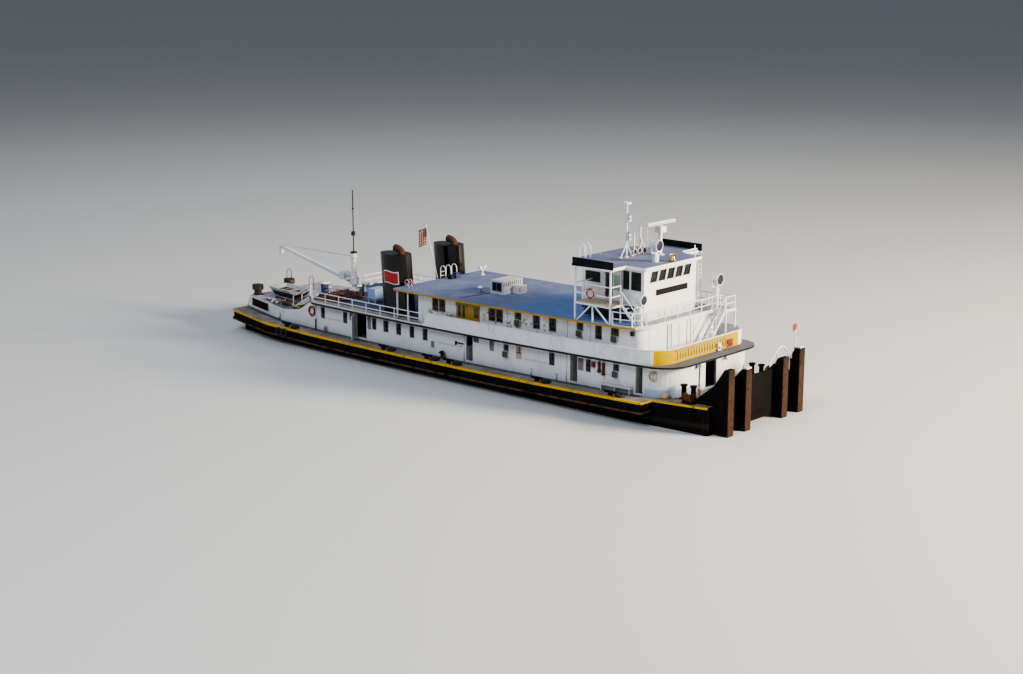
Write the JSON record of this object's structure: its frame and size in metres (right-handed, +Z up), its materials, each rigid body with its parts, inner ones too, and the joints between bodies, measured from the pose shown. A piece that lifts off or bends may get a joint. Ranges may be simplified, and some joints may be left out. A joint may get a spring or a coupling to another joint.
{
  "type": "river push towboat scale model",
  "caption": "River push towboat scale model with push knees, two deck houses, raised pilothouse, twin stacks and a stern crane.",
  "frame": {"origin": "on the flat bottom's plane, under the middle of the whole boat's length and breadth", "axes": "+X towards the bow and its push knees, +Y to port, +Z up"},
  "size_m": [23.0625, 6.14, 7.7724],
  "materials": {
    "hull": "black paint, scraped and rusty",
    "house_white": "white paint, weathered, rust streaks; the bulwark's front is yellow",
    "door_mustard": "mustard paint, weathered",
    "boat_deck_grey": "grey deck paint, black edge",
    "roof_blue": "blue-grey deck paint, patchy",
    "stack_black": "black gloss paint",
    "rust": "heavy rust",
    "bronze": "dull bronze",
    "engine_green": "satin paint"
  },
  "bodies": {
    "boat": {"hull": "hull", "guard_starboard": "hull", "guard_port": "hull", "push_knees": "hull", "main_wall_starboard": "house_white", "main_wall_port": "house_white", "main_wall_front": "house_white", "main_wall_aft": "house_white", "stern_casing": "house_white", "bulwark": "house_white", "upper_wall_starboard": "house_white", "upper_wall_port": "house_white", "upper_wall_front": "house_white", "upper_wall_aft": "house_white", "pilothouse_base": "house_white", "pilothouse_wall_starboard": "house_white", "pilothouse_wall_port": "house_white", "pilothouse_wall_front": "house_white", "pilothouse_wall_aft": "house_white", "wing_starboard": "house_white", "wing_port": "house_white", "hatch_house": "house_white", "mast": "house_white", "radar_pedestal": "house_white", "rail_boat_deck": "house_white", "rail_roof": "house_white", "front_stairs": "house_white", "crane_post": "house_white", "skiff": "house_white", "boat_deck": "boat_deck_grey", "roof_deck": "roof_blue", "pilothouse_roof": "roof_blue", "stack_starboard": "stack_black", "stack_port": "stack_black", "exhaust_starboard": "rust", "exhaust_port": "rust", "engine_starboard": "engine_green", "engine_port": "engine_green"},
    "propeller_starboard": {"propeller_starboard": "bronze"},
    "propeller_port": {"propeller_port": "bronze"},
    "rudder_starboard": {"rudder_starboard": "hull"},
    "rudder_port": {"rudder_port": "hull"},
    "flanking_rudder_starboard_inner": {"flanking_rudder_starboard_inner": "hull"},
    "flanking_rudder_starboard_outer": {"flanking_rudder_starboard_outer": "hull"},
    "flanking_rudder_port_inner": {"flanking_rudder_port_inner": "hull"},
    "flanking_rudder_port_outer": {"flanking_rudder_port_outer": "hull"},
    "radar_scanner": {"radar_scanner": "house_white"},
    "crane_jib": {"crane_jib": "house_white", "hook_block": "hull"},
    "searchlight_starboard": {"searchlight_starboard": "house_white"},
    "searchlight_port": {"searchlight_port": "house_white"},
    "searchlight_roof": {"searchlight_roof": "house_white"},
    "main_door_starboard": {"main_door_starboard": "house_white"},
    "main_door_port": {"main_door_port": "house_white"},
    "upper_door_starboard": {"upper_door_starboard": "door_mustard"},
    "upper_door_port": {"upper_door_port": "door_mustard"},
    "pilothouse_door_starboard": {"pilothouse_door_starboard": "house_white"},
    "pilothouse_door_port": {"pilothouse_door_port": "house_white"},
    "front_door_starboard": {"front_door_starboard": "house_white"},
    "front_door_port": {"front_door_port": "house_white"}
  },
  "joints": [
    {"name": "propeller_starboard_turn", "type": "hinge", "parent": "boat", "child": "propeller_starboard", "pos_m": [-8.7, -1.3, 0.625], "axis": [1, 0, 0], "continuous": true},
    {"name": "propeller_port_turn", "type": "hinge", "parent": "boat", "child": "propeller_port", "pos_m": [-8.7, 1.3, 0.625], "axis": [1, 0, 0], "continuous": true},
    {"name": "rudder_starboard_turn", "type": "hinge", "parent": "boat", "child": "rudder_starboard", "pos_m": [-9.85, -1.3, 0.5], "axis": [0, 0, 1], "range_deg": [-40, 40]},
    {"name": "rudder_port_turn", "type": "hinge", "parent": "boat", "child": "rudder_port", "pos_m": [-9.85, 1.3, 0.5], "axis": [0, 0, 1], "range_deg": [-40, 40]},
    {"name": "flanking_rudder_starboard_inner_turn", "type": "hinge", "parent": "boat", "child": "flanking_rudder_starboard_inner", "pos_m": [-7.55, -0.825, 0.5], "axis": [0, 0, 1], "range_deg": [-35, 35]},
    {"name": "flanking_rudder_starboard_outer_turn", "type": "hinge", "parent": "boat", "child": "flanking_rudder_starboard_outer", "pos_m": [-7.55, -1.775, 0.5], "axis": [0, 0, 1], "range_deg": [-35, 35]},
    {"name": "flanking_rudder_port_inner_turn", "type": "hinge", "parent": "boat", "child": "flanking_rudder_port_inner", "pos_m": [-7.55, 0.825, 0.5], "axis": [0, 0, 1], "range_deg": [-35, 35]},
    {"name": "flanking_rudder_port_outer_turn", "type": "hinge", "parent": "boat", "child": "flanking_rudder_port_outer", "pos_m": [-7.55, 1.775, 0.5], "axis": [0, 0, 1], "range_deg": [-35, 35]},
    {"name": "radar_scanner_turn", "type": "hinge", "parent": "boat", "child": "radar_scanner", "pos_m": [6.7, 0.725, 6.9], "axis": [0, 0, 1], "continuous": true},
    {"name": "crane_jib_turn", "type": "hinge", "parent": "boat", "child": "crane_jib", "pos_m": [-7.25, 0, 3.2], "axis": [0, 0, 1], "range_deg": [-100, 100]},
    {"name": "searchlight_starboard_turn", "type": "hinge", "parent": "boat", "child": "searchlight_starboard", "pos_m": [7.9, -1.85, 4.8], "axis": [0, 0, 1], "range_deg": [-170, 170]},
    {"name": "searchlight_port_turn", "type": "hinge", "parent": "boat", "child": "searchlight_port", "pos_m": [8.2, 1.81, 4.8], "axis": [0, 0, 1], "range_deg": [-170, 170]},
    {"name": "searchlight_roof_turn", "type": "hinge", "parent": "boat", "child": "searchlight_roof", "pos_m": [7.35, -0.375, 4.8], "axis": [0, 0, 1], "range_deg": [-170, 170]},
    {"name": "main_door_starboard_turn", "type": "hinge", "parent": "boat", "child": "main_door_starboard", "pos_m": [-4.7, -2.31035, 2.4], "axis": [0, 0, -1], "range_deg": [-60, 110]},
    {"name": "main_door_port_turn", "type": "hinge", "parent": "boat", "child": "main_door_port", "pos_m": [-4.7, 2.31035, 2.4], "axis": [0, 0, 1], "range_deg": [0, 170]},
    {"name": "upper_door_starboard_turn", "type": "hinge", "parent": "boat", "child": "upper_door_starboard", "pos_m": [0.65, -2.09535, 3.5], "axis": [0, 0, 1], "range_deg": [0, 50]},
    {"name": "upper_door_port_turn", "type": "hinge", "parent": "boat", "child": "upper_door_port", "pos_m": [0.65, 2.09535, 3.5], "axis": [0, 0, -1], "range_deg": [0, 50]},
    {"name": "pilothouse_door_starboard_turn", "type": "hinge", "parent": "boat", "child": "pilothouse_door_starboard", "pos_m": [6.465, -1.40535, 5.1], "axis": [0, 0, 1], "range_deg": [-175, 0]},
    {"name": "pilothouse_door_port_turn", "type": "hinge", "parent": "boat", "child": "pilothouse_door_port", "pos_m": [6.465, 1.40535, 5.1], "axis": [0, 0, -1], "range_deg": [0, 175]},
    {"name": "front_door_starboard_turn", "type": "hinge", "parent": "boat", "child": "front_door_starboard", "pos_m": [9.49035, -0.505, 2.6], "axis": [0, 0, -1], "range_deg": [-175, 0]},
    {"name": "front_door_port_turn", "type": "hinge", "parent": "boat", "child": "front_door_port", "pos_m": [9.49035, 0.105, 2.6], "axis": [0, 0, 1], "range_deg": [-175, 0]}
  ],
  "couplings": [
    {"joint": "rudder_port_turn", "follows": "rudder_starboard_turn", "ratio": 1},
    {"joint": "flanking_rudder_starboard_outer_turn", "follows": "flanking_rudder_starboard_inner_turn", "ratio": 1},
    {"joint": "flanking_rudder_port_inner_turn", "follows": "flanking_rudder_starboard_inner_turn", "ratio": 1},
    {"joint": "flanking_rudder_port_outer_turn", "follows": "flanking_rudder_starboard_inner_turn", "ratio": 1}
  ]
}
